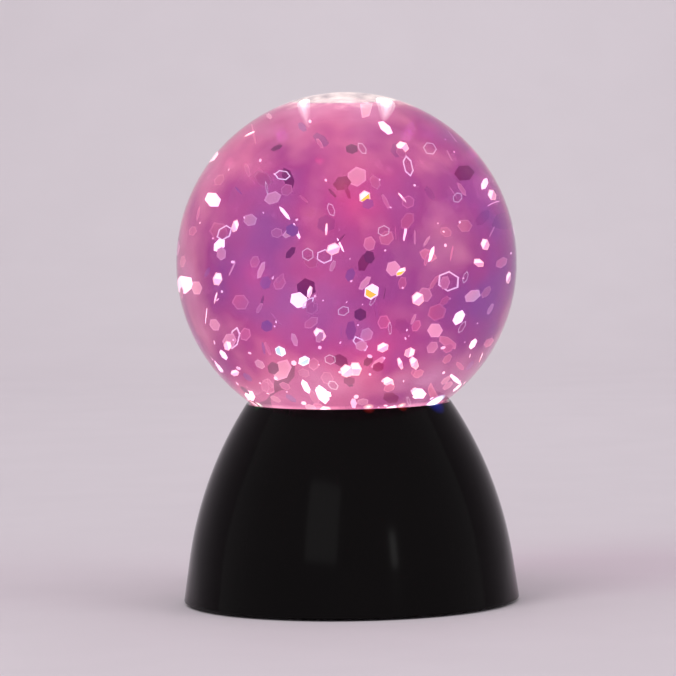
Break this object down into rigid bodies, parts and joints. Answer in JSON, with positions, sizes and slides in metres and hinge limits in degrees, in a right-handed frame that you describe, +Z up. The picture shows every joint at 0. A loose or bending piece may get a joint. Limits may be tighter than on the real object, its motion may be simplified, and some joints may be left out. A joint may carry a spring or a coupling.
{
  "type": "glitter ball lamp",
  "caption": "Table lamp with a clear liquid-filled globe of drifting hexagonal glitter, lit and stirred from inside a gloss black dome-shaped base.",
  "frame": {"origin": "centre of the base on the surface that it stands on", "axes": "+Z up along the lamp's axis, -Y towards the viewer of the front, the switch on the +X side of the underside and the battery door hinged at its -Y edge"},
  "size_m": [0.1, 0.1, 0.1499],
  "materials": {
    "base_black": "gloss",
    "underside_black": "satin",
    "screw_steel": "brushed",
    "foot_rubber": "matte",
    "cell_sleeve": "gloss",
    "contact_nickel": "bright",
    "switch_case": "satin",
    "inner_black": "satin",
    "motor_steel": "satin",
    "inner_white": "satin",
    "terminal_brass": "bright",
    "winding_copper": "bright",
    "shaft_steel": "bright",
    "magnet_nickel": "bright",
    "board_green": "satin",
    "chip_black": "matte",
    "led_red": "clear, lit",
    "led_green": "clear, lit",
    "led_blue": "clear, lit",
    "wire_red": "satin",
    "wire_black": "satin",
    "wire_yellow": "satin",
    "globe_clear": "clear",
    "seal_rubber": "matte",
    "liquid_pink": "clear",
    "flake_silver": "metallised film",
    "flake_rose": "metallised film",
    "flake_violet": "metallised film"
  },
  "bodies": {
    "base": {"base_shell": "base_black", "base_plate": "underside_black", "plate_screws": "screw_steel", "rubber_feet": "foot_rubber", "battery_cells": "cell_sleeve", "battery_springs": "contact_nickel", "contact_plates": "contact_nickel", "switch_body": "switch_case", "motor_deck": "inner_black", "deck_screws": "screw_steel", "motor_can": "motor_steel", "motor_end_cap": "inner_white", "motor_terminals": "terminal_brass", "motor_screws": "screw_steel", "light_board": "board_green", "board_screws": "screw_steel", "driver_chip": "chip_black", "red_leds": "led_red", "green_leds": "led_green", "blue_leds": "led_blue", "supply_wires": "wire_red", "return_wire": "wire_black", "motor_wires": "wire_yellow", "globe_shell": "globe_clear", "retaining_ring": "inner_black", "neck_plug": "inner_white", "plug_seal": "seal_rubber", "impeller_pin": "shaft_steel"},
    "rotor": {"motor_shaft": "shaft_steel", "motor_armature": "winding_copper", "magnet_carrier": "inner_white", "drive_magnets": "magnet_nickel"},
    "stirrer": {"impeller": "inner_white", "impeller_magnets": "magnet_nickel"},
    "swirl": {"liquid": "liquid_pink", "silver_flakes": "flake_silver", "rose_flakes": "flake_rose", "violet_flakes": "flake_violet"},
    "switch": {"switch_knob": "underside_black"},
    "door": {"battery_door": "underside_black"}
  },
  "joints": [
    {"name": "motor_spin", "type": "hinge", "parent": "base", "child": "rotor", "pos_m": [0, 0, 0.038], "axis": [0, 0, 1], "continuous": true},
    {"name": "impeller_spin", "type": "hinge", "parent": "base", "child": "stirrer", "pos_m": [0, 0, 0.048], "axis": [0, 0, 1], "continuous": true},
    {"name": "glitter_swirl", "type": "hinge", "parent": "base", "child": "swirl", "pos_m": [0, 0, 0.0999], "axis": [0, 0, 1], "continuous": true},
    {"name": "switch_slide", "type": "slide", "parent": "base", "child": "switch", "axis": [0, 1, 0], "range_m": [0, 0.004]},
    {"name": "battery_door_hinge", "type": "hinge", "parent": "base", "child": "door", "pos_m": [0, -0.0273, 0.0014], "axis": [-1, 0, 0], "range_deg": [0, 75]}
  ],
  "couplings": [
    {"joint": "impeller_spin", "follows": "motor_spin", "ratio": 1}
  ]
}
